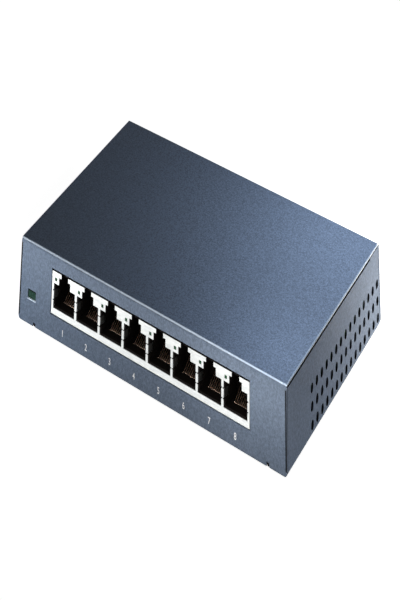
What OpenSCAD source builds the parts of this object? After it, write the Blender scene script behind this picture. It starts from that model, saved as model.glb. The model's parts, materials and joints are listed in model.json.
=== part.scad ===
// Eight-socket desktop network switch in a folded steel case, in millimetres.
// The origin is the middle of the footprint, at the bottom of the feet.
// X runs to the right as seen from the sockets, Y from the sockets to the rear, Z up.
// Inside the modules, heights count from the bottom of the case, above the feet.

/* [Case] */
// Width of the case, left to right
case_w = 158; // [156:1:176]
// Depth of the case, sockets to rear
case_d = 101; // [101:1:130]
// Height of the case without its feet
case_h = 25; // [25:0.5:32]
// Thickness of the sheet steel
sheet = 0.8; // [0.6:0.1:1]
// Outside radius of the folded edges
fold_r = 1.3; // [1.2:0.1:1.6]
// Gap between the top plate and the side walls
lid_gap = 0.5; // [0.3:0.1:0.8]
// Height of the rubber feet
foot_h = 1.5; // [1.4:0.1:3]
// Diameter of the rubber feet
foot_dia = 10; // [6:1:12]
// Distance between the two wall keyholes
keyhole_span = 100; // [60:5:110]

/* [Vents] */
// Slots in each row of a side wall
vent_columns = 15; // [4:1:15]
// Rows of slots in a side wall
vent_rows = 3; // [1:1:3]
// Distance between neighbouring slots
vent_pitch = 5.15; // [3.5:0.05:5.2]
// Width of a slot
vent_slot_w = 2.6; // [1:0.1:2.7]
// Height of a slot
vent_slot_h = 2.8; // [2.7:0.1:2.9]

/* [Sockets] */
// Distance between the centres of neighbouring sockets
port_pitch = 14.55; // [14.4:0.05:14.8]
// Height of the shield
shield_h = 12.9; // [12.9:0.1:13.5]
// Depth of the shield
shield_d = 15.6; // [15.6:0.1:17]
// How far the shield's face lies behind the front panel's face
face_recess = 0.2; // [0:0.1:0.6]
// Gap between the shield and the sides and lower edge of the panel opening
face_gap = 0.4; // [0.2:0.1:0.6]
// Gap between the shield and the upper edge of the panel opening
upper_gap = 0.7; // [0.2:0.1:0.8]
// Rest angle of the contact wires above the floor of a socket
wire_angle = 19; // [14:1:20]

/* [Board] */
// Width of the circuit board
board_w = 148; // [146:1:150]
// Thickness of the circuit board
board_t = 1.6; // [1.2:0.2:1.6]
// Height of the board's upper face above the bottom of the case
board_top = 7; // [7:0.1:7.4]

/* [Power socket] */
// Sideways place of the power socket
jack_x = -50; // [-54:1:-46]
// Diameter of its bore
jack_bore = 6.4; // [6.2:0.1:6.6]
// Diameter of its centre pin
jack_pin_dia = 2; // [1.6:0.1:2.4]

/* [Hidden] */
$fn = 48;
port_count = 8;

cut = 1;               // how far a cutter runs past the face it cuts
touch_gap = 0.05;      // clearance between neighbouring pieces
front = -case_d / 2;
rear = case_d / 2;
inner_front = front + sheet;
inner_rear = rear - sheet;
wall_play = 0.3;       // gap between the tray's walls and the panels in front of and behind them
side_front = inner_front + wall_play;
side_rear = inner_rear - wall_play;
side_top = case_h - sheet - lid_gap;

flange_z = sheet + touch_gap;
flange_l = 8;
flange_end = 3;        // how far the rear flange stops short of each side
hook_x = 68.75;
hook_w = 1.6;          // width of the notch that a hook stands in
hook_h = 1.2;
hook_play = 0.35;      // gap on each side of a hook in its notch
rear_tab_l = 9.5;
corner_r = 1.8;        // lower rear corner of the side walls
tap_r = 1.5;           // tapped holes of the screws
clear_r = 1.7;         // holes that the screws pass through
plug_hole_r = 4.75;    // hole in the rear panel for the power plug
screw_x = 60;
screw_y = inner_rear - 4;
foot_inset = 13;
keyhole_r = 3.5;
keyhole_slot_w = 3.6;
keyhole_slot_l = 6;

vent_first = 25.4;     // first column behind the front face
vent_low = 3.1;        // middle of the lowest row

window_x = -71.1;      // power light
window_z = 9.0;
window_w = 5.2;
window_h = 2.9;
window_r = 0.3;
window_pipe_d = 5;     // how far the light pipe runs back before it turns down
window_pipe_half = window_h / 2 - 0.1;

board_low = board_top - board_t;
board_front = front + 2.1;
board_rear = rear - 3.6;
hole_x = 66;
hole_front_y = -30;
hole_rear_y = 30;

face_y = front + face_recess;
shield_w = port_count * port_pitch + 1;
shield_low = board_top + touch_gap;
shield_t = 0.3;
opening_w = 13.3;
opening_low = shield_low + 1.85;
opening_high = opening_low + 7.5;
step_w = 7.1;
step_high = opening_high + 2.25;
latch_w = 4.3;
latch_d = 2.2;
light_dx = -5.45;      // a light pipe, from the middle of its socket
light_z = shield_low + 10.65;
light_size = 1.2;       // width of a light pipe
light_h = 0.8;          // height of its face
light_room = light_size / 2 + 0.1; // half the width and half the height of its channel
light_room_h = light_h / 2 + 0.1;
finger_low = shield_low + 4.45;
finger_high = finger_low + 2.5;
housing_wall = shield_t + 0.1; // from the outside of the shield to the housing

cavity_w = 11.9;
cavity_low = shield_low + 2.25;
cavity_high = opening_high - 0.2;
cavity_d = 13.2;
key_w = 6.6;           // groove over the plug for its latch
key_d = 11;
comb_d = 11.6;
comb_high = cavity_low + 2.9;
trough_low = cavity_low - 1.1;
trough_front = 4.7;
trough_w = 8.4;
comb_slot_w = 0.7;

wire_count = 8;
wire_pitch = 1.02;
wire_w = 0.36;
wire_t = 0.3;
wire_l = 6.9;
knuckle_r = 0.25;
pivot_d = 5.4;         // contact hinge behind the shield's face
pivot_z = cavity_low - 0.4;
tail_r = 0.22;
tail_first = 8;
tail_step = 2.54;
tail_low = 3.9;
tail_hole_r = 0.4;

jack_w = 9;
jack_d = 14.2;
jack_h = 11;
jack_face = inner_rear - 0.3;
jack_z = board_top + 6.3;
jack_bore_d = 10.5;
jack_slot_w = 3.2;
jack_pin_play = 0.04;
leaf_w = 2.4;
leaf_t = 0.3;
leaf_angle = 17;
leaf_l = 5.5;
leaf_knuckle_r = 0.3;
leaf_pivot_y = jack_face - 9.2;
leaf_pivot_z = board_top + 1.8;
leaf_low = board_top + 0.7;

chip_x = 8;
chip_y = 8;
chip_size = 20;
chip_h = 1.4;
stand_off = 0.1;       // gap under a chip
lead_t = 0.15;
pad_t = 0.3;
pad_size = 18;
small_chip_l = 5;
small_chip_w = 3.9;
sink_size = 26;
sink_base = 1.6;
sink_h = 7;
fin_count = 9;
fin_t = 1;

transformer_w = 27;
transformer_d = 13.5;
transformer_h = 6;
transformer_y = -22;
transformer_pitch = 2 * port_pitch;

steel_blue = [0.33, 0.39, 0.47];
black = [0.09, 0.08, 0.08];
bright = [0.87, 0.87, 0.85];
gold = [0.78, 0.60, 0.30];

function port_x(i) = (i - (port_count + 1) / 2) * port_pitch;
function row_x(i, count, pitch) = (i - (count - 1) / 2) * pitch;

// Lifts a piece from the case's bottom onto the feet
module on_feet() {
    translate([0, 0, foot_h]) children();
}

// Box between two opposite corners
module block(low, high) {
    translate(low) cube(high - low);
}

// Box in front of or behind the shield's face: x and z as given, depth from the face
module port_block(x0, x1, d0, d1, z0, z1) {
    block([x0, face_y + d0, z0], [x1, face_y + d1, z1]);
}

// Flat outline in Y and Z, made into a bar of the given width along X
module bar_along_x(width) {
    rotate([90, 0, 90]) linear_extrude(width, center = true) children();
}

// Rectangle between two corners with all four corners rounded
module round_rect(low, high, r) {
    translate([low.x + r, low.y]) square([high.x - low.x - 2 * r, high.y - low.y]);
    translate([low.x, low.y + r]) square([high.x - low.x, high.y - low.y - 2 * r]);
    for (x = [low.x + r, high.x - r], y = [low.y + r, high.y - r]) translate([x, y]) circle(r);
}

// Upright slot with round ends
module upright_slot(w, h) {
    translate([-w / 2, -(h - w) / 2]) square([w, h - w]);
    for (side = [-1, 1]) translate([0, side * (h - w) / 2]) circle(w / 2);
}

// ---- case ----

// Front panel, top plate, rear panel and rear flange, as one folded strip
module cover_strip() {
    difference() {
        round_rect([front, flange_z], [rear, case_h], fold_r);
        round_rect([inner_front, flange_z + sheet], [inner_rear, case_h - sheet], fold_r - sheet);
        translate([front - cut, -cut]) square([case_d - flange_l + cut, flange_z + fold_r + cut]);
    }
    translate([front, 0]) square([sheet, case_h / 2]);
}

// What rounds off the lower corners of the front panel
module panel_corners() {
    for (side = [-1, 1]) difference() {
        translate([side * case_w / 2, front, 0]) cube([2 * fold_r, 4 * sheet, 2 * fold_r], center = true);
        translate([side * (case_w / 2 - fold_r), front, fold_r]) rotate([90, 0, 0])
            cylinder(r = fold_r, h = 6 * sheet, center = true);
    }
}

module top_cover() {
    color(steel_blue) on_feet() difference() {
        bar_along_x(case_w) cover_strip();
        // opening for the socket block
        block([-shield_w / 2 - face_gap, front - cut, shield_low - face_gap],
            [shield_w / 2 + face_gap, inner_front + cut, shield_low + shield_h + upper_gap]);
        panel_corners();
        // window of the power light
        translate([window_x, inner_front + cut, window_z]) rotate([90, 0, 0]) linear_extrude(sheet + 2 * cut)
            round_rect([-window_w / 2, -window_h / 2], [window_w / 2, window_h / 2], window_r);
        // notches for the tray's hooks
        for (side = [-1, 1]) translate([side * hook_x, front, hook_h / 2 - cut / 2])
            cube([hook_w, 2 * sheet + cut, hook_h + cut], center = true);
        // hole for the power plug
        translate([jack_x, rear + cut, jack_z]) rotate([90, 0, 0])
            cylinder(r = plug_hole_r, h = sheet + 2 * cut);
        for (side = [-1, 1]) {
            // the rear flange clears the tray's side walls
            translate([side * (case_w - flange_end + cut) / 2, inner_rear - flange_l, 0])
                cube([flange_end + cut, 2 * flange_l, 2 * (flange_z + fold_r)], center = true);
            // tapped holes in the flange
            translate([side * screw_x, screw_y, 0]) cylinder(r = tap_r, h = 2 * sheet + cut);
        }
    }
}

// Bottom plate and both side walls, as one folded strip in X and Z
module tray_strip() {
    tall = case_h + 2 * fold_r;
    difference() {
        round_rect([-case_w / 2, 0], [case_w / 2, tall], fold_r);
        round_rect([sheet - case_w / 2, sheet], [case_w / 2 - sheet, tall + fold_r], fold_r - sheet);
        translate([-case_w / 2 - cut, side_top]) square([case_w + 2 * cut, tall]);
    }
}

// Keyhole that drops over a wall screw and slides down on it
module keyhole() {
    translate([0, 0, -cut]) {
        cylinder(r = keyhole_r, h = sheet + 2 * cut);
        translate([-keyhole_slot_w / 2, 0, 0]) cube([keyhole_slot_w, keyhole_slot_l, sheet + 2 * cut]);
        translate([0, keyhole_slot_l, 0]) cylinder(r = keyhole_slot_w / 2, h = sheet + 2 * cut);
    }
}

module vents() {
    for (column = [0:vent_columns - 1], row = [0:vent_rows - 1])
        translate([0, front + vent_first + column * vent_pitch, vent_low + row * vent_pitch])
            bar_along_x(case_w + 2 * cut) upright_slot(vent_slot_w, vent_slot_h);
}

// What rounds off the lower rear corner of both side walls
module wall_corners() {
    translate([0, side_rear, 0]) difference() {
        cube([case_w + 2 * cut, 2 * corner_r, 2 * corner_r], center = true);
        translate([0, -corner_r, corner_r]) rotate([0, 90, 0])
            cylinder(r = corner_r, h = case_w + 4 * cut, center = true);
        cube([case_w - 2 * fold_r, 4 * corner_r, 4 * corner_r], center = true);
    }
}

module base_tray() {
    tab_h = lid_gap - touch_gap;
    color(steel_blue) on_feet() difference() {
        union() {
            translate([0, side_rear, 0]) rotate([90, 0, 0])
                linear_extrude(side_rear - side_front) tray_strip();
            // rear edge of the bottom plate, under the rear panel
            block([fold_r - case_w / 2, side_rear - cut, 0], [case_w / 2 - fold_r, rear, sheet]);
            for (side = [-1, 1]) {
                // hooks in the front panel's notches
                translate([side * hook_x, side_front, sheet / 2])
                    cube([hook_w - 2 * hook_play, 2 * sheet, sheet], center = true);
                // tabs that close the gap under the top plate at the rear
                translate([side * (case_w - sheet) / 2, side_rear - rear_tab_l / 2,
                    side_top + (tab_h - cut) / 2]) cube([sheet, rear_tab_l, tab_h + cut], center = true);
            }
        }
        vents();
        wall_corners();
        for (side = [-1, 1]) {
            translate([side * screw_x, screw_y, -cut]) cylinder(r = clear_r, h = sheet + 2 * cut);
            translate([side * keyhole_span / 2, 0, 0]) keyhole();
        }
    }
}

module rubber_feet() {
    r = foot_dia / 2;
    color([0.08, 0.08, 0.08]) for (x = [-1, 1], y = [-1, 1])
        translate([x * (case_w / 2 - foot_inset), y * (case_d / 2 - foot_inset), 0]) rotate_extrude()
            polygon([[0, 0], [r - 0.9, 0], [r - 0.25, 0.35], [r, foot_h], [0, foot_h]]);
}

// Round screw with a cross recess, its head's lower face at the origin
module screw(head_r, head_h, shank_r, shank_l) {
    difference() {
        union() {
            rotate_extrude() polygon([[0, 0], [head_r, 0], [head_r, head_h * 0.55],
                [head_r * 0.8, head_h], [0, head_h]]);
            translate([0, 0, -shank_l]) cylinder(r = shank_r, h = shank_l);
        }
        for (turn = [0, 90]) rotate([0, 0, turn]) translate([0, 0, head_h])
            cube([head_r * 1.1, head_r * 0.24, head_h * 0.9], center = true);
    }
}

module cover_screws() {
    color(bright) on_feet() for (side = [-1, 1]) translate([side * screw_x, screw_y, 0])
        rotate([180, 0, 0]) screw(2.6, 1, 1.4, 4.4);
}

// ---- board and its fixings ----

module at_board_holes() {
    for (x = [-hole_x, hole_x], y = [hole_front_y, hole_rear_y]) translate([x, y, 0]) children();
}

module board_standoffs() {
    color(bright) on_feet() at_board_holes() difference() {
        translate([0, 0, sheet]) cylinder(r = 2.9, h = board_low - sheet);
        cylinder(r = tap_r, h = board_top);
    }
}

module board_screws() {
    color(bright) on_feet() at_board_holes() translate([0, 0, board_top]) screw(2.8, 1.8, 1.4, 5);
}

// Runs its children once at each contact wire of every socket, at the board's level
module at_wires() {
    for (i = [1:port_count], w = [0:wire_count - 1])
        translate([port_x(i) + row_x(w, wire_count, wire_pitch), face_y, 0]) {
            $tail_d = tail_first + (w % 2) * tail_step;
            children();
        }
}

module main_board() {
    color([0.10, 0.30, 0.17]) on_feet() difference() {
        block([-board_w / 2, board_front, board_low], [board_w / 2, board_rear, board_top]);
        translate([0, 0, board_low - cut]) {
            at_board_holes() cylinder(r = clear_r, h = board_t + 2 * cut);
            at_wires() translate([0, $tail_d, 0]) cylinder(r = tail_hole_r, h = board_t + 2 * cut);
            at_shield_legs() cube([1, 2, 4 * board_t], center = true);
            at_jack_tails() cube([3, 1.2, 4 * board_t], center = true);
            at_capacitors() at_capacitor_leads() cylinder(r = 0.5, h = board_t + 2 * cut);
            at_crystal_leads() cylinder(r = tail_hole_r, h = board_t + 2 * cut);
        }
    }
}

// ---- socket block ----

module at_shield_legs() {
    for (side = [-1, 1], d = [5, 12])
        translate([side * (shield_w - shield_t) / 2, face_y + d, 0]) children();
}

// What is cut from the shield at one socket
module shield_cuts() {
    port_block(-opening_w / 2, opening_w / 2, -cut, shield_t + 0.01, opening_low, opening_high);
    port_block(-step_w / 2, step_w / 2, -cut, shield_t + 0.01, opening_high - cut, step_high);
    port_block(-latch_w / 2, latch_w / 2, -cut, latch_d, step_high - cut, shield_low + shield_h + cut);
    // light pipe windows in the face and in the rear wall
    for (d = [0, shield_d]) port_block(light_dx - light_room, light_dx + light_room, d - cut, d + cut,
        light_z - light_room_h, light_z + light_room_h);
    // reliefs above and below the side fingers
    for (side = [-1, 1], z = [finger_low - 0.4, finger_high])
        port_block(side * opening_w / 2 - 0.5, side * opening_w / 2 + 0.5, -cut, shield_t + 0.01, z, z + 0.4);
}

// Leaf bent back from the edge of an opening, pressing on a shielded plug
module side_finger() {
    edge = opening_w / 2;
    bend = cavity_w / 2 - 0.17;
    translate([0, face_y, finger_low]) linear_extrude(finger_high - finger_low)
        polygon([[edge - 0.02, 0.05], [edge + 0.1, 0.05], [edge + 0.1, 0.28], [bend + 0.22, 2.6],
            [bend + 0.47, 4.8], [bend + 0.27, 4.8], [bend, 2.6]]);
}

module port_shield() {
    high = shield_low + shield_h;
    color(bright) on_feet() {
        difference() {
            port_block(-shield_w / 2, shield_w / 2, 0, shield_d, shield_low, high);
            port_block(shield_t - shield_w / 2, shield_w / 2 - shield_t, shield_t, shield_d - shield_t,
                shield_low - cut, high - shield_t);
            for (i = [1:port_count]) translate([port_x(i), 0, 0]) shield_cuts();
        }
        for (i = [1:port_count], flip = [0, 1])
            translate([port_x(i), 0, 0]) mirror([flip, 0, 0]) side_finger();
        at_shield_legs() block([-shield_t / 2, -0.6, tail_low], [shield_t / 2, 0.6, shield_low + cut]);
    }
}

// What is cut from the housing at one socket
module housing_cuts() {
    half = cavity_w / 2;
    // room for the plug, with a sloping front edge to its floor and the comb's block at the back
    translate([0, face_y, 0]) bar_along_x(cavity_w)
        polygon([[0, cavity_low - 0.7], [0.7, cavity_low], [comb_d, cavity_low], [comb_d, comb_high],
            [cavity_d, comb_high], [cavity_d, cavity_high], [0, cavity_high]]);
    port_block(-key_w / 2, key_w / 2, 0, key_d, cavity_high - cut, step_high - 0.2);
    port_block(-latch_w / 2, latch_w / 2, 0, latch_d + 0.3, step_high - cut, shield_low + shield_h);
    // channel of the light pipe
    port_block(light_dx - light_room, light_dx + light_room, 0, shield_d, light_z - light_room_h,
        light_z + light_room_h);
    // pockets of the side fingers
    for (side = [-1, 1]) translate([side * (half + 0.35), 0, 0])
        port_block(-0.5, 0.5, 0, 5.2, finger_low - 0.2, finger_high + 0.2);
    // trough and comb that the contact wires move in
    port_block(-trough_w / 2, trough_w / 2, trough_front, comb_d, trough_low, cavity_low + cut);
    for (w = [0:wire_count - 1]) translate([row_x(w, wire_count, wire_pitch), 0, 0])
        port_block(-comb_slot_w / 2, comb_slot_w / 2, comb_d - 0.3, cavity_d, trough_low, comb_high + cut);
}

module port_housing() {
    color(black) on_feet() difference() {
        port_block(housing_wall - shield_w / 2, shield_w / 2 - housing_wall, shield_t + touch_gap,
            shield_d - housing_wall, shield_low, shield_low + shield_h - housing_wall);
        for (i = [1:port_count]) translate([port_x(i), 0, 0]) housing_cuts();
        at_wires() translate([0, $tail_d, board_low])
            cylinder(r = tail_r + 0.1, h = trough_low - board_low + 0.1);
    }
}

// Fixed half of the contacts: front bend, run under the moving wire, and tail through the board
module port_contact_pins() {
    bend_d = pivot_d - knuckle_r - touch_gap - wire_t;
    color(gold) on_feet() at_wires() {
        block([-wire_w / 2, bend_d, trough_low], [wire_w / 2, $tail_d + wire_w / 2, trough_low + wire_t]);
        block([-wire_w / 2, bend_d, trough_low], [wire_w / 2, bend_d + wire_t, pivot_z]);
        translate([0, $tail_d, tail_low]) cylinder(r = tail_r, h = trough_low + wire_t / 2 - tail_low);
    }
}

// Moving half of one contact wire, hinged at the origin
module contact_wire() {
    rotate([0, 90, 0]) cylinder(r = knuckle_r, h = wire_w, center = true);
    rotate([wire_angle, 0, 0]) {
        block([-wire_w / 2, 0, -wire_t / 2], [wire_w / 2, wire_l, wire_t / 2]);
        translate([0, wire_l, 0]) rotate([0, 90, 0]) cylinder(r = wire_t / 2, h = wire_w, center = true);
    }
}

module port_contacts(i) {
    color(gold) on_feet() for (w = [0:wire_count - 1])
        translate([port_x(i) + row_x(w, wire_count, wire_pitch), face_y + pivot_d, pivot_z]) contact_wire();
}

// ---- lights ----

light_back = shield_d + 2;
light_low = board_top + 1.1;

module port_light_pipes() {
    half = light_h / 2;
    turn_d = light_back - light_size;
    color([0.45, 0.75, 0.45]) on_feet() for (i = [1:port_count])
        translate([port_x(i) + light_dx, face_y, 0]) bar_along_x(light_size)
            polygon([[0.1, light_z - half], [turn_d, light_z - half], [turn_d, light_low],
                [light_back, light_low], [light_back, light_z - half], [turn_d, light_z + half],
                [0.1, light_z + half]]);
}

// Surface-mount lamp on the board
module lamp() {
    translate([0, 0, board_top]) {
        block([-0.8, -0.4, 0], [0.8, 0.4, 0.3]);
        block([-0.5, -0.4, 0.3], [0.5, 0.4, 0.7]);
    }
}

module port_lights() {
    color([0.9, 0.9, 0.8]) on_feet() for (i = [1:port_count])
        translate([port_x(i) + light_dx, face_y + light_back - light_size / 2, 0]) lamp();
}

module power_light_pipe() {
    half = window_pipe_half;
    turn_d = window_pipe_d;
    back = turn_d + 2 * half;
    color([0.20, 0.45, 0.28]) on_feet() translate([window_x, front, 0]) {
        bar_along_x(window_w - 0.2) polygon([[0.4, window_z - half], [turn_d, window_z - half],
            [turn_d, light_low], [back, light_low], [back, light_low + 0.6], [turn_d, window_z + half],
            [0.4, window_z + half]]);
        block([-window_w / 2 - 0.6, sheet + touch_gap, window_z - half - 0.7],
            [window_w / 2 + 0.6, sheet + touch_gap + 0.7, window_z + half + 0.7]);
    }
}

module power_light() {
    color([0.9, 0.9, 0.8]) on_feet()
        translate([window_x, front + window_pipe_d + window_pipe_half, 0]) lamp();
}

// ---- power socket ----

jack_back = jack_face - jack_d;
jack_tail_y = jack_face - 7;

module at_jack_tails() {
    translate([jack_x, jack_back - 0.25, 0]) children();
    translate([jack_x, jack_tail_y, 0]) children();
}

module dc_jack_body() {
    color(black) on_feet() translate([jack_x, 0, 0]) difference() {
        block([-jack_w / 2, jack_back, board_top], [jack_w / 2, jack_face, board_top + jack_h]);
        translate([0, jack_face + cut, jack_z]) rotate([90, 0, 0]) {
            cylinder(d = jack_bore, h = jack_bore_d + cut);
            cylinder(d = jack_pin_dia + jack_pin_play, h = 2 * jack_d);
        }
        // slot of the leaf spring, and the way down for its tail
        block([-jack_slot_w / 2, leaf_pivot_y - 0.8, leaf_low],
            [jack_slot_w / 2, jack_face - 1.8, board_top + 4]);
        translate([0, jack_tail_y, board_top]) cube([2.4, 0.9, 4], center = true);
    }
}

module dc_jack_pin() {
    r = jack_pin_dia / 2;
    color(bright) on_feet() translate([jack_x, jack_back - 0.2, jack_z]) rotate([-90, 0, 0]) rotate_extrude()
        polygon([[0, 0], [r, 0], [r, jack_d - 1.9], [r - 0.3, jack_d - 1.3], [0, jack_d - 1.3]]);
}

// Sprung leaf that presses on the plug's sleeve, with its free end towards the mouth
module dc_jack_spring() {
    color(bright) on_feet() translate([jack_x, leaf_pivot_y, leaf_pivot_z]) {
        rotate([0, 90, 0]) cylinder(r = leaf_knuckle_r, h = leaf_w, center = true);
        rotate([leaf_angle, 0, 0]) {
            block([-leaf_w / 2, 0, -leaf_t / 2], [leaf_w / 2, leaf_l, leaf_t / 2]);
            translate([0, leaf_l, 0]) rotate([-50, 0, 0])
                block([-leaf_w / 2, 0, -leaf_t / 2], [leaf_w / 2, 1.2, leaf_t / 2]);
            translate([0, leaf_l, 0]) rotate([0, 90, 0]) cylinder(r = leaf_t / 2, h = leaf_w, center = true);
        }
    }
}

module dc_jack_terminals() {
    bend = leaf_pivot_y - leaf_knuckle_r - touch_gap - leaf_t;
    low = leaf_low;
    color(bright) on_feet() translate([jack_x, 0, 0]) {
        // foot of the leaf spring
        block([-leaf_w / 2, bend, low], [leaf_w / 2, jack_tail_y + 0.25, low + leaf_t]);
        block([-leaf_w / 2, bend, low], [leaf_w / 2, bend + leaf_t, leaf_pivot_z]);
        block([-1, jack_tail_y - 0.25, tail_low], [1, jack_tail_y + 0.25, low + leaf_t]);
        // strip riveted to the centre pin
        difference() {
            block([-1.3, jack_back - 0.5, tail_low], [1.3, jack_back - 0.01, jack_z + 1.8]);
            translate([0, jack_back - 0.2, jack_z]) rotate([-90, 0, 0])
                cylinder(d = jack_pin_dia + jack_pin_play, h = jack_d);
        }
    }
}

// ---- chips ----

// Bent lead running outwards along Y from a chip's wall down to the board
module gull_lead(width, reach, rise) {
    bar_along_x(width) polygon([[0, rise], [reach * 0.4, rise], [reach * 0.65, lead_t], [reach, lead_t],
        [reach, 0], [reach * 0.55, 0], [reach * 0.3, rise - lead_t], [0, rise - lead_t]]);
}

// Row of leads along X, on the wall that faces +Y at the given distance
module lead_row(count, pitch, wall_y, width, reach, rise) {
    for (k = [0:count - 1])
        translate([row_x(k, count, pitch), wall_y, board_top]) gull_lead(width, reach, rise);
}

module at_switch_chip() {
    translate([chip_x, chip_y, 0]) children();
}

module switch_chip() {
    half = chip_size / 2;
    low = board_top + stand_off;
    color(black) on_feet() at_switch_chip() difference() {
        block([-half, -half, low], [half, half, low + chip_h]);
        for (turn = [0:90:270]) rotate([0, 0, turn]) translate([half, half, low + chip_h / 2])
            rotate([0, 0, 45]) cube([1.2, 3, 2 * chip_h], center = true);
    }
}

module switch_chip_leads() {
    color(bright) on_feet() at_switch_chip() for (turn = [0:90:270]) rotate([0, 0, turn])
        lead_row(28, 0.65, chip_size / 2 + 0.01, 0.28, 1, stand_off + chip_h / 2);
}

module thermal_pad() {
    low = board_top + stand_off + chip_h;
    color([0.75, 0.75, 0.8]) on_feet() at_switch_chip() translate([0, 0, low + pad_t / 2])
        cube([pad_size, pad_size, pad_t], center = true);
}

module heat_sink() {
    half = sink_size / 2;
    low = board_top + stand_off + chip_h + pad_t;
    fin_pitch = (sink_size - fin_t) / (fin_count - 1);
    gap = (fin_pitch - fin_t) / 2;
    color([0.62, 0.63, 0.65]) on_feet() at_switch_chip() difference() {
        block([-half, -half, low], [half, half, low + sink_h]);
        for (k = [0:fin_count - 2]) translate([row_x(k, fin_count - 1, fin_pitch), 0, 0])
            block([-gap, -half - cut, low + sink_base], [gap, half + cut, low + sink_h + cut]);
    }
}

module at_transformers() {
    for (k = [0:port_count / 2 - 1])
        translate([row_x(k, port_count / 2, transformer_pitch), transformer_y, 0]) children();
}

module lan_transformers() {
    low = board_top + 0.2;
    high = low + transformer_h;
    color(black) on_feet() at_transformers() difference() {
        block([-transformer_w / 2, -transformer_d / 2, low], [transformer_w / 2, transformer_d / 2, high]);
        // dimple at pin one
        translate([1.5 - transformer_w / 2, 1.5 - transformer_d / 2, high])
            cylinder(r = 0.6, h = 0.4, center = true);
    }
}

module lan_transformer_leads() {
    color(bright) on_feet() at_transformers() for (turn = [0, 180]) rotate([0, 0, turn])
        lead_row(20, 1.27, transformer_d / 2 + 0.01, 0.5, 1.5, 1.6);
}

// Places of the small eight-lead chips: memory first, then the two regulators
memory_at = [[-13, 17]];
regulators_at = [[-32, 14], [-32, 29]];

module at(places) {
    for (p = places) translate([p.x, p.y, 0]) children();
}

module small_chip() {
    low = board_top + stand_off;
    difference() {
        translate([0, 0, low + chip_h / 2]) cube([small_chip_l, small_chip_w, chip_h], center = true);
        // dimple at pin one
        translate([0.6 - small_chip_l / 2, 0.6 - small_chip_w / 2, low + chip_h])
            cylinder(r = 0.35, h = 0.3, center = true);
    }
}

module memory_chip() {
    color(black) on_feet() at(memory_at) small_chip();
}

module regulator_chips() {
    color(black) on_feet() at(regulators_at) small_chip();
}

module small_chip_leads() {
    color(bright) on_feet() at(concat(memory_at, regulators_at)) for (turn = [0, 180]) rotate([0, 0, turn])
        lead_row(4, 1.27, small_chip_w / 2 + 0.01, 0.42, 1, stand_off + chip_h / 2);
}

// ---- other parts on the board ----

crystal_at = [-13, 5];

module at_crystal_leads() {
    for (side = [-1, 1]) translate([crystal_at.x + side * 2.44, crystal_at.y, 0]) children();
}

// Flat solid of the given length, width and height, with two round ends
module rounded_can(l, w, h) {
    translate([(w - l) / 2, -w / 2, 0]) cube([l - w, w, h]);
    for (side = [-1, 1]) translate([side * (l - w) / 2, 0, 0]) cylinder(d = w, h = h);
}

// Metal can on a rim, with two wire leads
module crystal() {
    color(bright) on_feet() {
        translate([crystal_at.x, crystal_at.y, board_top + 0.3]) {
            rounded_can(11.3, 4.8, 0.4);
            translate([0, 0, 0.4]) rounded_can(10.4, 3.9, 3.5);
        }
        at_crystal_leads() translate([0, 0, tail_low]) cylinder(r = tail_r, h = board_top + 0.4 - tail_low);
    }
}

module power_inductors() {
    color([0.22, 0.22, 0.23]) on_feet() at([[-21, 14], [-21, 29]]) translate([0, 0, board_top]) difference() {
        block([-3.6, -3.6, 0], [3.6, 3.6, 4]);
        translate([0, 0, 4]) difference() {
            cylinder(r = 3.2, h = 0.6, center = true);
            cylinder(r = 2.5, h = 2, center = true);
        }
    }
}

module input_diode() {
    color(black) on_feet() translate([-44, 29, board_top]) {
        block([-2.2, -1.3, 0.15], [2.2, 1.3, 2.3]);
        for (side = [-1, 1]) translate([side * 2.35, 0, 0.5]) cube([0.7, 1.5, 1], center = true);
    }
}

// Electrolytic capacitors: place and can radius
capacitors = [[-62, 16, 4], [-52, 18, 4], [-42, 18, 3.15], [28, 30, 3.15]];

module at_capacitors() {
    for (c = capacitors) translate([c.x, c.y, 0]) {
        $can_r = c.z;
        children();
    }
}

module at_capacitor_leads() {
    for (side = [-1, 1]) translate([side * ($can_r > 3.5 ? 1.75 : 1.25), 0, 0]) children();
}

module electrolytic_capacitors() {
    can_h = 11;
    color([0.10, 0.10, 0.14]) on_feet() at_capacitors() {
        r = $can_r;
        translate([0, 0, board_top + 0.1]) rotate_extrude() polygon([[0, 0], [r, 0], [r, 1], [r - 0.35, 1.3],
            [r - 0.35, 1.7], [r, 2], [r, can_h - 0.3], [r - 0.3, can_h], [r - 0.8, can_h],
            [r - 0.9, can_h - 0.2], [0, can_h - 0.2]]);
        at_capacitor_leads() translate([0, 0, tail_low]) cylinder(r = 0.3, h = board_top + 0.2 - tail_low);
    }
}

// Small soldered part: body with a metal cap at each end
module chip_part(l, w, h) {
    translate([0, 0, board_top]) {
        block([-l / 2 + 0.3, -w / 2, 0.03], [l / 2 - 0.3, w / 2, h - 0.03]);
        for (side = [-1, 1]) translate([side * (l / 2 - 0.15), 0, h / 2]) cube([0.3, w, h], center = true);
    }
}

module chip_resistors() {
    color([0.12, 0.12, 0.13]) on_feet() {
        for (k = [0:23]) translate([row_x(k, 24, 4.6), -10.5, 0]) rotate([0, 0, 90]) chip_part(1.6, 0.8, 0.5);
        for (k = [0:7]) translate([chip_x + 17, chip_y + row_x(k, 8, 2.6), 0]) chip_part(1.6, 0.8, 0.5);
    }
}

module chip_capacitors() {
    color([0.60, 0.50, 0.38]) on_feet() {
        for (k = [0:15]) translate([row_x(k, 16, 7), -7, 0]) rotate([0, 0, 90]) chip_part(1.6, 0.8, 0.8);
        for (k = [0:5]) translate([chip_x + row_x(k, 6, 4), chip_y + 15.5, 0]) chip_part(2, 1.25, 1);
        for (k = [0:3]) translate([42 + 5 * k, 12, 0]) chip_part(3.2, 1.6, 1.2);
    }
}

// ---- what is drawn ----

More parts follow.
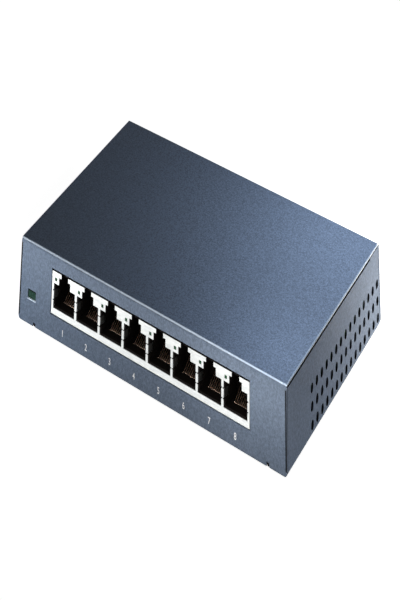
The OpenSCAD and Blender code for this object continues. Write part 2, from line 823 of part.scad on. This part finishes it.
top_cover();
base_tray();
rubber_feet();
cover_screws();
board_standoffs();
board_screws();
main_board();
port_shield();
port_housing();
port_contact_pins();
port_contacts(1);  // port_1_contacts
port_contacts(2);  // port_2_contacts
port_contacts(3);  // port_3_contacts
port_contacts(4);  // port_4_contacts
port_contacts(5);  // port_5_contacts
port_contacts(6);  // port_6_contacts
port_contacts(7);  // port_7_contacts
port_contacts(8);  // port_8_contacts
port_light_pipes();
port_lights();
power_light_pipe();
power_light();
dc_jack_body();
dc_jack_pin();
dc_jack_spring();
dc_jack_terminals();
switch_chip();
switch_chip_leads();
thermal_pad();
heat_sink();
lan_transformers();
lan_transformer_leads();
crystal();
memory_chip();
regulator_chips();
small_chip_leads();
power_inductors();
input_diode();
electrolytic_capacitors();
chip_resistors();
chip_capacitors();
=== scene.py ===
"""Looks of the desktop network switch, in metres: finishes, printed numbers, light, floor, camera."""

import json
from math import cos, pi, radians, sin, tan

import bpy
from mathutils import Matrix, Vector


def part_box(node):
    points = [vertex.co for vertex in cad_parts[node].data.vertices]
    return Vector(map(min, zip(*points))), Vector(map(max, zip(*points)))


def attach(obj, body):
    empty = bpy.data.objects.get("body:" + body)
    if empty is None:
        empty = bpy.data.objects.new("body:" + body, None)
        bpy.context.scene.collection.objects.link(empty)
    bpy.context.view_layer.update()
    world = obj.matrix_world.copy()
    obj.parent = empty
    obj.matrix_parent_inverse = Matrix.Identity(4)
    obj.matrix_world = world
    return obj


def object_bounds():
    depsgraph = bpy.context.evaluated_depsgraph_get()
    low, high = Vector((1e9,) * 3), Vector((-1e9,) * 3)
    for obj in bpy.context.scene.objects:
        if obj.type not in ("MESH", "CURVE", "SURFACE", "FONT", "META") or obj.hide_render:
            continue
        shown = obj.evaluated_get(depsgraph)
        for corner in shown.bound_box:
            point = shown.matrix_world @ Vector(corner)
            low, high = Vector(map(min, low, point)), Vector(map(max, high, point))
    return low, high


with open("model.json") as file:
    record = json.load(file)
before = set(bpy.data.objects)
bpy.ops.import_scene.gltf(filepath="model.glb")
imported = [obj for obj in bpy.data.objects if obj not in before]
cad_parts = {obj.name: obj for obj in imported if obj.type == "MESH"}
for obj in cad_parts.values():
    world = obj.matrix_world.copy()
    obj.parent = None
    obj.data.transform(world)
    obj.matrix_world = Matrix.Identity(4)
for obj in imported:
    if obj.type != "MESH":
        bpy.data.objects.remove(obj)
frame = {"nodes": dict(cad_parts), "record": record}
cad_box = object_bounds()
nodes = frame["nodes"]

MM = 0.001
low, high = cad_box
FRONT = low.y
TOP = high.z
CASE_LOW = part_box("base_tray")[0].z
PORTS = 8


# ---- node helpers ----


class Finish:
    """One material: its node tree, its shader and short ways to add and join nodes."""

    def __init__(self, name, roughness=0.5, metallic=0.0, specular=0.5):
        self.material = bpy.data.materials.new(name)
        self.material.use_nodes = True
        self.tree = self.material.node_tree
        self.shader = self.tree.nodes["Principled BSDF"]
        self.shader.inputs["Roughness"].default_value = roughness
        self.shader.inputs["Metallic"].default_value = metallic
        self.shader.inputs["Specular IOR Level"].default_value = specular
        self.place = self.add("TexCoord").outputs["Object"]

    def add(self, kind, **settings):
        made = self.tree.nodes.new("ShaderNode" + kind)
        for key, value in settings.items():
            setattr(made, key, value)
        return made

    def join(self, output, socket):
        self.tree.links.new(output, socket)

    def set(self, socket, value):
        """Puts a number, a colour or another node's output on a socket."""
        if hasattr(value, "links"):
            self.join(value, socket)
        else:
            socket.default_value = value

    def math(self, operation, a, b=0.0, clamp=False):
        made = self.add("Math", operation=operation, use_clamp=clamp)
        self.set(made.inputs[0], a)
        self.set(made.inputs[1], b)
        return made.outputs[0]

    def stretched(self, scale):
        """The place, stretched by three factors, for streaks and grain with a direction."""
        made = self.add("Mapping")
        made.inputs["Scale"].default_value = scale
        self.join(self.place, made.inputs["Vector"])
        return made.outputs["Vector"]

    def noise(self, size, detail=2.0, stretch=None, rough=0.5):
        """Noise whose largest features are about size metres across."""
        made = self.add("TexNoise")
        made.inputs["Scale"].default_value = 1 / size
        made.inputs["Detail"].default_value = detail
        made.inputs["Roughness"].default_value = rough
        self.join(self.stretched(stretch) if stretch else self.place, made.inputs["Vector"])
        return made.outputs["Fac"]

    def spread(self, value, from_low, from_high, to_low, to_high):
        made = self.add("MapRange")
        ends = {"From Min": from_low, "From Max": from_high, "To Min": to_low, "To Max": to_high}
        for key, number in ends.items():
            made.inputs[key].default_value = number
        self.join(value, made.inputs["Value"])
        return made.outputs["Result"]

    def within(self, value, start, end, soft):
        """1 where the value lies between start and end, 0 outside, with soft edges."""
        rise = self.spread(value, start - soft, start + soft, 0, 1)
        return self.math("MULTIPLY", rise, self.spread(value, end - soft, end + soft, 1, 0))

    def any(self, *masks):
        """The largest of several masks."""
        total = masks[0]
        for mask in masks[1:]:
            total = self.math("MAXIMUM", total, mask)
        return total

    def all(self, *masks):
        """1 only where every mask is 1."""
        total = masks[0]
        for mask in masks[1:]:
            total = self.math("MULTIPLY", total, mask)
        return total

    def over(self, value, limit):
        return self.math("GREATER_THAN", value, limit)

    def under(self, value, limit):
        return self.math("LESS_THAN", value, limit)

    def blend(self, factor, a, b):
        made = self.add("Mix", data_type="RGBA")
        self.set(made.inputs["Factor"], factor)
        self.set(made.inputs["A"], a)
        self.set(made.inputs["B"], b)
        return made.outputs["Result"]

    def parts(self, vector):
        made = self.add("SeparateXYZ")
        self.join(vector, made.inputs[0])
        return made.outputs[0], made.outputs[1], made.outputs[2]

    def color(self, value):
        self.set(self.shader.inputs["Base Color"], value)

    def roughness(self, value):
        self.set(self.shader.inputs["Roughness"], value)

    def bump(self, height, depth, strength=1.0):
        made = self.add("Bump")
        made.inputs["Distance"].default_value = depth
        made.inputs["Strength"].default_value = strength
        self.join(height, made.inputs["Height"])
        self.join(made.outputs["Normal"], self.shader.inputs["Normal"])


def rgb(r, g, b):
    return (r, g, b, 1.0)


def tint(color, factor):
    """The colour made lighter or darker."""
    return rgb(*(min(1.0, c * factor) for c in color[:3]))


# ---- finishes of the case ----

PAINT = rgb(0.118, 0.160, 0.232)
PAINT_GRAIN = 0.75 * MM
# painted highlight colour for the case's folds and cut edges
FOLD_HIGHLIGHT = rgb(0.66, 0.81, 1.0)
# painted shade colour for the case's seams, vent slots and notches
SEAM_SHADE = rgb(0.012, 0.014, 0.018)
SHEET = 0.8 * MM
FOLD = 1.4 * MM                # how far a folded edge reaches from the outside of the case
EDGE_BAND = 0.42 * MM          # bright part of the top plate's cut edge
WALL_TOP = 1.3 * MM            # the side walls end this far below the top
PIPE_LOW, PIPE_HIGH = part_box("power_light_pipe")
WINDOW = (PIPE_LOW + PIPE_HIGH) / 2
WINDOW_HALF_W, WINDOW_HALF_H = 2.6 * MM, 1.45 * MM


def powder_coat():
    """Grained powder coat, with a painted highlight on folds, cut edges and the power window's lower
    rim, and painted shade inside seams, slots and notches.
    """
    f = Finish("case_paint", specular=0.04)
    coarse = f.noise(PAINT_GRAIN, detail=3.0, rough=0.7)
    fine = f.noise(0.3 * MM, detail=2.0)
    grain = f.math("ADD", f.math("MULTIPLY", coarse, 0.65), f.math("MULTIPLY", fine, 0.35))
    cloud = f.noise(6 * MM, detail=3.0)
    base = f.blend(f.spread(grain, 0.38, 0.62, 0, 1), tint(PAINT, 0.60), tint(PAINT, 1.45))
    base = f.blend(f.spread(cloud, 0.3, 0.7, 0, 0.12), base, tint(PAINT, 1.3))
    x, y, z = f.parts(f.place)
    nx, ny, nz = f.parts(f.add("NewGeometry").outputs["Normal"])
    x_size, nx_size, nz_size = (f.math("ABSOLUTE", value) for value in (x, nx, nz))
    base = f.blend(f.spread(nz_size, 0.4, 0.9, 0.4, 0), base, PAINT)
    sideways, upright = f.over(nx_size, 0.8), f.under(nx_size, 0.3)
    # painted highlight on the folds, on the top plate's cut edge and a strip of the top beside it, on
    # the power window's lower lip and a band just below the window, and a weaker one on the lower
    # folds
    top_fold = f.all(f.over(z, TOP - FOLD), f.within(nz_size, 0.66, 0.91, 0.04))
    low_fold = f.all(f.under(z, CASE_LOW + FOLD), f.within(nz_size, 0.3, 0.9, 0.2))
    cut_edge = f.all(sideways, f.over(z, TOP - EDGE_BAND), f.under(z, TOP - 0.08 * MM))
    plate_rim = f.all(f.over(nz, 0.9), f.over(z, TOP - 0.1 * MM), f.over(x, high.x - 0.4 * MM))
    lip = f.all(f.over(nz, 0.5), f.under(x, PIPE_HIGH.x), f.under(y, FRONT + SHEET),
        f.under(z, WINDOW.z))
    rim_low = WINDOW.z - WINDOW_HALF_H
    below_window = f.all(f.under(ny, -0.8), f.within(z, rim_low - 0.28 * MM, rim_low, 0.03 * MM),
        f.within(x, WINDOW.x - WINDOW_HALF_W, WINDOW.x + WINDOW_HALF_W, 0.2 * MM))
    light = f.any(top_fold, cut_edge, lip, below_window, f.math("MULTIPLY", low_fold, 0.22),
        f.math("MULTIPLY", plate_rim, 0.35))
    base = f.blend(f.math("MULTIPLY", light, 0.85), base, FOLD_HIGHLIGHT)
    # painted shade in the seams under the top plate and beside the front panel, on the insides of the
    # vent slots and in the notches at the front's lower edge
    in_seam = f.all(f.over(z, TOP - WALL_TOP - 0.15 * MM), f.under(z, TOP - EDGE_BAND))
    seam_wall = f.all(sideways, f.over(z, TOP - SHEET - 0.03 * MM))
    below_plate = f.all(in_seam, f.any(f.over(nz, 0.8), seam_wall))
    in_wall = f.over(x_size, high.x - SHEET - 0.02 * MM)
    slots = f.all(in_wall, upright, f.over(z, CASE_LOW + FOLD),
        f.under(z, TOP - WALL_TOP - 0.2 * MM))
    notches = f.all(f.over(y, FRONT + 0.1 * MM), f.under(y, FRONT + 1.2 * MM),
        f.under(z, CASE_LOW + 1.15 * MM))
    dark = f.any(below_plate, slots, notches)
    f.color(f.blend(dark, base, SEAM_SHADE))
    f.roughness(f.spread(grain, 0.35, 0.65, 0.44, 0.58))
    f.bump(grain, 0.04 * MM, 0.6)
    return f.material


def rubber():
    f = Finish("foot_rubber", roughness=0.75, specular=0.3)
    dust = f.noise(1.2 * MM, detail=4.0)
    f.color(f.blend(f.spread(dust, 0.4, 0.75, 0, 0.5), rgb(0.022, 0.022, 0.023),
        rgb(0.07, 0.068, 0.066)))
    f.bump(f.noise(0.25 * MM, detail=2.0), 0.03 * MM, 0.6)
    return f.material


# ---- finishes of metal ----


def plated(name, color, roughness, streak=(1, 1, 1), blotch=0.9 * MM):
    """Plated or bare metal with fine streaks and slightly dull patches."""
    f = Finish(name, metallic=1.0)
    streaks = f.noise(0.5 * MM, detail=3.0, stretch=streak)
    patches = f.noise(blotch, detail=3.0)
    dull = f.blend(f.spread(patches, 0.4, 0.7, 0, 0.6), color, tint(color, 0.82))
    f.color(f.blend(f.spread(streaks, 0.35, 0.65, 0, 0.35), dull, tint(color, 1.08)))
    f.roughness(f.spread(streaks, 0.3, 0.7, roughness * 0.8, roughness * 1.25))
    f.bump(streaks, 0.008 * MM, 0.4)
    return f.material


TIN_PLATE = rgb(0.68, 0.71, 0.71)


def shield_plate():
    """Bright rolled tin plate with faint streaks along the block, with painted shade behind its face.
    """
    f = Finish("shield_plate", metallic=1.0)
    streaks = f.noise(0.5 * MM, detail=3.0, stretch=(0.15, 1, 1))
    patches = f.noise(3 * MM, detail=3.0)
    face = f.blend(f.spread(patches, 0.35, 0.7, 0, 1), TIN_PLATE, tint(TIN_PLATE, 0.88))
    face = f.blend(f.spread(streaks, 0.35, 0.65, 0, 0.5), face, tint(TIN_PLATE, 1.06))
    # painted shade: the plate turns dark from 0.3 mm behind the front inwards, where the ports shade
    # it
    depth = f.spread(f.parts(f.place)[1], FRONT + 0.3 * MM, FRONT + 0.8 * MM, 0, 1)
    f.color(f.blend(depth, face, tint(TIN_PLATE, 0.12)))
    f.roughness(f.spread(streaks, 0.3, 0.7, 0.34, 0.46))
    f.bump(streaks, 0.008 * MM, 0.4)
    return f.material


# ---- finishes of plastic ----


def moulded(name, color, roughness, speck=0.3 * MM, specular=0.5):
    """Moulded plastic with spark-eroded grain."""
    f = Finish(name, roughness=roughness, specular=specular)
    grain = f.noise(speck, detail=3.0)
    f.color(f.blend(f.spread(grain, 0.35, 0.65, 0, 1), tint(color, 0.75), tint(color, 1.3)))
    f.roughness(f.spread(grain, 0.3, 0.7, roughness * 0.85, min(1.0, roughness * 1.15)))
    f.bump(grain, 0.012 * MM, 0.5)
    return f.material


def light_pipe(name, color, glow, shade_from=1.0):
    """Clear tinted plastic with fine flow lines, dark above a height where the panel shades it."""
    f = Finish(name, roughness=0.22, specular=0.05)
    flow = f.noise(0.5 * MM, detail=2.0, stretch=(1, 0.3, 1))
    tinted = f.blend(f.spread(flow, 0.3, 0.7, 0, 1), tint(color, 0.7), tint(color, glow))
    shade = f.spread(f.parts(f.place)[2], shade_from, shade_from + 0.3 * MM, 0, 0.9)
    f.color(f.blend(shade, tinted, tint(color, 0.1)))
    f.roughness(f.spread(flow, 0.3, 0.7, 0.15, 0.32))
    f.shader.inputs["Transmission Weight"].default_value = 0.08
    return f.material


def ink():
    """Screen-printed ink, slightly uneven."""
    f = Finish("port_number_ink", roughness=0.55)
    patch = f.noise(0.25 * MM, detail=2.0)
    f.color(f.blend(f.spread(patch, 0.35, 0.7, 0, 1), rgb(0.78, 0.84, 0.92), rgb(0.90, 0.95, 1.0)))
    return f.material


# ---- finishes inside ----


def board_laminate():
    """Green solder mask over a pattern of copper tracks, bare laminate at the cut edges."""
    f = Finish("board_laminate", roughness=0.35)
    tracks = f.add("TexBrick", offset=0.5, squash=1.0)
    tracks.inputs["Scale"].default_value = 1 / (4 * MM)
    tracks.inputs["Mortar Size"].default_value = 0.03
    tracks.inputs["Color1"].default_value = rgb(0.012, 0.085, 0.040)
    tracks.inputs["Color2"].default_value = rgb(0.018, 0.105, 0.048)
    tracks.inputs["Mortar"].default_value = rgb(0.045, 0.20, 0.085)
    f.join(f.place, tracks.inputs["Vector"])
    nz = f.parts(f.add("NewGeometry").outputs["Normal"])[2]
    edge = f.math("LESS_THAN", f.math("ABSOLUTE", nz), 0.5)
    weave = f.noise(0.4 * MM, detail=2.0, stretch=(1, 1, 4))
    laminate = f.blend(weave, rgb(0.28, 0.24, 0.12), rgb(0.42, 0.37, 0.20))
    f.color(f.blend(edge, tracks.outputs["Color"], laminate))
    f.bump(tracks.outputs["Fac"], 0.02 * MM, 0.6)
    return f.material


def capacitor_sleeve():
    """Dark shrunk sleeve with a pale stripe and a bare aluminium top."""
    f = Finish("capacitor_sleeve", roughness=0.35)
    nx, ny, nz = f.parts(f.add("NewGeometry").outputs["Normal"])
    stripe = f.math("GREATER_THAN", nx, 0.93)
    lid = f.math("GREATER_THAN", nz, 0.9)
    grain = f.noise(0.6 * MM, detail=2.0)
    sleeve = f.blend(grain, rgb(0.010, 0.010, 0.022), rgb(0.022, 0.022, 0.045))
    striped = f.blend(stripe, sleeve, rgb(0.45, 0.46, 0.48))
    f.color(f.blend(lid, striped, rgb(0.66, 0.67, 0.68)))
    f.join(f.math("MULTIPLY", lid, 0.9), f.shader.inputs["Metallic"])
    f.bump(grain, 0.01 * MM, 0.4)
    return f.material


def finishes():
    return {
        "case_paint": powder_coat(),
        "foot_rubber": rubber(),
        "zinc_steel": plated("zinc_steel", rgb(0.66, 0.67, 0.68), 0.35),
        "board_laminate": board_laminate(),
        "shield_plate": shield_plate(),
        "socket_plastic": moulded("socket_plastic", rgb(0.0040, 0.0034, 0.0034), 0.5,
            specular=0.06),
        "gold_contact": plated("gold_contact", rgb(0.95, 0.71, 0.58), 0.35, streak=(1, 0.15, 1)),
        "port_light_lens": light_pipe("port_light_lens", rgb(0.020, 0.075, 0.038), 1.4),
        "power_light_lens": light_pipe("power_light_lens", rgb(0.013, 0.042, 0.031), 1.6,
            shade_from=WINDOW.z + 0.65 * MM),
        "lamp_body": moulded("lamp_body", rgb(0.72, 0.71, 0.58), 0.3),
        "nickel": plated("nickel", rgb(0.74, 0.71, 0.65), 0.25, streak=(1, 0.2, 1)),
        "tin_lead": plated("tin_lead", rgb(0.68, 0.68, 0.68), 0.42),
        "chip_epoxy": moulded("chip_epoxy", rgb(0.024, 0.024, 0.026), 0.5, speck=0.15 * MM),
        "thermal_rubber": moulded("thermal_rubber", rgb(0.48, 0.49, 0.56), 0.8, speck=0.8 * MM),
        "sink_aluminium": plated("sink_aluminium", rgb(0.66, 0.67, 0.69), 0.4, streak=(1, 0.08, 1)),
        "ferrite": moulded("ferrite", rgb(0.055, 0.055, 0.06), 0.7, speck=0.5 * MM),
        "capacitor_sleeve": capacitor_sleeve(),
        "resistor_body": moulded("resistor_body", rgb(0.03, 0.03, 0.03), 0.4),
        "capacitor_ceramic": moulded("capacitor_ceramic", rgb(0.40, 0.29, 0.18), 0.5),
    }


def dress(made):
    """Gives every node of the frame the finish of its slot."""
    for part in frame["record"]["subparts"]:
        mesh = nodes[part["node"]].data
        mesh.materials.clear()
        mesh.materials.append(made[part["material_slot"]])


# ---- printed port numbers ----

NUMBER_HEIGHT = 1.9 * MM
NUMBER_MIDDLE = 3.0 * MM       # above the case's lower edge
INK_THICKNESS = 0.01 * MM
STROKE_GROWTH = 0.02 * MM      # the printed strokes are a little bolder than the font's
DIGIT_SHARE = 0.69             # height of a digit as a share of the font's size


def print_numbers():
    """Plain numbers 1 to 8 under the sockets, as thin ink on the front panel."""
    material = ink()
    for i in range(1, PORTS + 1):
        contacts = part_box(f"port_{i}_contacts")
        middle = (contacts[0].x + contacts[1].x) / 2
        text = bpy.data.curves.new(f"number_{i}", "FONT")
        text.body = str(i)
        text.align_x, text.align_y = "CENTER", "CENTER"
        text.size = NUMBER_HEIGHT / DIGIT_SHARE
        text.extrude = INK_THICKNESS / 2
        text.offset = STROKE_GROWTH
        shape = bpy.data.objects.new(f"number_{i}_shape", text)
        bpy.context.scene.collection.objects.link(shape)
        bpy.context.view_layer.update()
        graph = bpy.context.evaluated_depsgraph_get()
        mesh = bpy.data.meshes.new_from_object(shape.evaluated_get(graph))
        bpy.data.objects.remove(shape)
        mesh.transform(Matrix.Rotation(pi / 2, 4, "X"))
        heights = [v.co.z for v in mesh.vertices]
        rise = CASE_LOW + NUMBER_MIDDLE - (min(heights) + max(heights)) / 2
        mesh.transform(Matrix.Translation((middle, FRONT - INK_THICKNESS / 2, rise)))
        mesh.materials.clear()
        mesh.materials.append(material)
        number = bpy.data.objects.new(f"port_number_{i}", mesh)
        bpy.context.scene.collection.objects.link(number)
        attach(number, "case")


# ---- floor, light and camera ----

FLOOR_HALF = 6.0
FLOOR_COLOR = rgb(0.80, 0.80, 0.80)
FLOOR_GLOW = 0.93              # lifts the floor to white where it is seen
WORLD_LEVEL = 0.03             # light from the surroundings, where they aren't seen
COOL, WARM, WARMEST = (0.89, 0.93, 1.0), (1.0, 0.90, 0.80), (1.0, 0.84, 0.68)


def seen_directly(tree):
    """1 for rays from the camera, a mirror or glass, 0 for rays that only carry light."""
    path = tree.nodes.new("ShaderNodeLightPath")
    total = path.outputs["Is Camera Ray"]
    for name in ("Is Glossy Ray", "Is Transmission Ray"):
        both = tree.nodes.new("ShaderNodeMath")
        both.operation = "MAXIMUM"
        tree.links.new(total, both.inputs[0])
        tree.links.new(path.outputs[name], both.inputs[1])
        total = both.outputs[0]
    return total


def make_floor():
    half = FLOOR_HALF
    mesh = bpy.data.meshes.new("floor")
    corners = [(-half, -half, 0), (half, -half, 0), (half, half, 0), (-half, half, 0)]
    mesh.from_pydata(corners, [], [(0, 1, 2, 3)])
    floor = bpy.data.objects.new("floor", mesh)
    bpy.context.scene.collection.objects.link(floor)
    material = bpy.data.materials.new("pale_floor")
    material.use_nodes = True
    tree = material.node_tree
    tree.nodes.clear()
    out = tree.nodes.new("ShaderNodeOutputMaterial")
    both = tree.nodes.new("ShaderNodeAddShader")
    surface = tree.nodes.new("ShaderNodeBsdfDiffuse")
    surface.inputs["Color"].default_value = FLOOR_COLOR
    glow = tree.nodes.new("ShaderNodeEmission")
    strength = tree.nodes.new("ShaderNodeMath")
    strength.operation = "MULTIPLY"
    strength.inputs[1].default_value = FLOOR_GLOW
    tree.links.new(seen_directly(tree), strength.inputs[0])
    tree.links.new(strength.outputs[0], glow.inputs["Strength"])
    tree.links.new(surface.outputs[0], both.inputs[0])
    tree.links.new(glow.outputs[0], both.inputs[1])
    tree.links.new(both.outputs[0], out.inputs["Surface"])
    mesh.materials.append(material)


def make_world():
    """White where it is seen, and a low even light everywhere else."""
    world = bpy.data.worlds.new("studio")
    bpy.context.scene.world = world
    world.use_nodes = True
    tree = world.node_tree
    background = tree.nodes["Background"]
    level = tree.nodes.new("ShaderNodeMapRange")
    level.inputs["To Min"].default_value = WORLD_LEVEL
    level.inputs["To Max"].default_value = 1.0
    tree.links.new(seen_directly(tree), level.inputs["Value"])
    tree.links.new(level.outputs["Result"], background.inputs["Strength"])
    background.inputs["Color"].default_value = rgb(1, 1, 1)


def softbox(name, place, aim, size, power, color=(1.0, 1.0, 1.0)):
    lamp = bpy.data.lights.new(name, "AREA")
    lamp.shape = "RECTANGLE"
    lamp.size, lamp.size_y = size
    lamp.energy = power
    lamp.color = color
    holder = bpy.data.objects.new(name, lamp)
    holder.location = place
    holder.rotation_mode = "QUATERNION"
    holder.rotation_quaternion = (Vector(aim) - Vector(place)).to_track_quat("-Z", "Y")
    holder.visible_camera = False
    bpy.context.scene.collection.objects.link(holder)


def light_scene():
    """Small lamps close to the case, each kept to one of its faces.

    Those over the top stand inside its outline, and those beside a wall stay lower than the top
    plate, so the light on the top, the front and the right side can be set apart. Their places
    and powers were found by fits and by trial, and don't copy any real studio.
    """
    side_level, side_lamp = 0.013, (0.02, 0.02)
    over_rear, over_front = (0.072, 0.048), (0.074, -0.040)
    softbox("over_right_rear", (*over_rear, TOP + 0.090), (*over_rear, TOP), (0.03, 0.01), 0.121,
        color=COOL)
    softbox("over_right_front", (*over_front, TOP + 0.048), (*over_front, TOP), (0.02, 0.01),
        0.020, color=COOL)
    softbox("right_rear", (high.x + 0.06, 0.060, side_level), (high.x, 0.060, side_level),
        side_lamp, 0.082, color=WARMEST)
    softbox("left_rear", (-0.30, 0.33, side_level), (0, 0, side_level), side_lamp, 1.0)
    softbox("front_left", (-0.12, -0.12, side_level), (0, FRONT, side_level), (0.04, 0.02), 0.049)
    softbox("front_near", (0.0, FRONT - 0.020, TOP - 0.002), (0, FRONT, TOP - 0.004),
        (0.20, 0.006), 0.0238, color=WARM)
    softbox("front_near_right", (0.065, FRONT - 0.022, TOP - 0.003), (0.065, FRONT, TOP - 0.007),
        (0.07, 0.006), 0.0065, color=WARM)


def make_camera():
    """Camera at the object's own viewing angle, on a leaned picture plane.

    The reference view is drawn out upwards. A picture plane leaned back by lean degrees draws the
    object out by 1.9 while it keeps its true proportions, which comes near the reference. The
    case's upright edges lean by about 3 degrees, and those of the reference don't. A parent scaled
    along one axis leans the plane. Views from other angles leave the parent behind, and see the
    object plainly. The angles, distance and focal length were fitted to the case's corners.
    """
    azimuth, elevation, roll, lean = 31.227, 26.425, 1.107, 58.142
    distance, focal_pixels, image_height = 1.381474, 2667.814, 600
    aside, above = -0.000096, -0.005613
    target = Vector((0, 0, (CASE_LOW + TOP) / 2))
    a, e, r = radians(azimuth), radians(elevation), radians(roll)
    back = Vector((sin(a) * cos(e), -cos(a) * cos(e), sin(e)))
    right = Vector((cos(a), sin(a), 0))
    up = back.cross(right)
    axes = (right * cos(r) + up * sin(r), up * cos(r) - right * sin(r), back)
    turn = Matrix(axes).transposed().to_4x4()
    place = target + turn.to_3x3() @ Vector((aside, above, distance))
    gap = (pi / 2 - radians(lean)) / 2
    rig = bpy.data.objects.new("camera_rig", None)
    rig.rotation_mode = "QUATERNION"
    rig.location = place
    rig.rotation_quaternion = (turn @ Matrix.Rotation(-gap, 4, "X")).to_quaternion()
    rig.scale = (1, tan(gap), 1)
    bpy.context.scene.collection.objects.link(rig)
    data = bpy.data.cameras.new("camera")
    data.sensor_width = 36
    data.lens = focal_pixels / image_height * data.sensor_width
    data.clip_start, data.clip_end = 0.01, 50
    camera = bpy.data.objects.new("camera", data)
    camera.parent = rig
    camera.rotation_euler = (radians(45), 0, 0)
    bpy.context.scene.collection.objects.link(camera)
    bpy.context.scene.camera = camera


make_camera()
dress(finishes())
print_numbers()
make_floor()
make_world()
light_scene()
bpy.context.scene.view_settings.view_transform = "Standard"
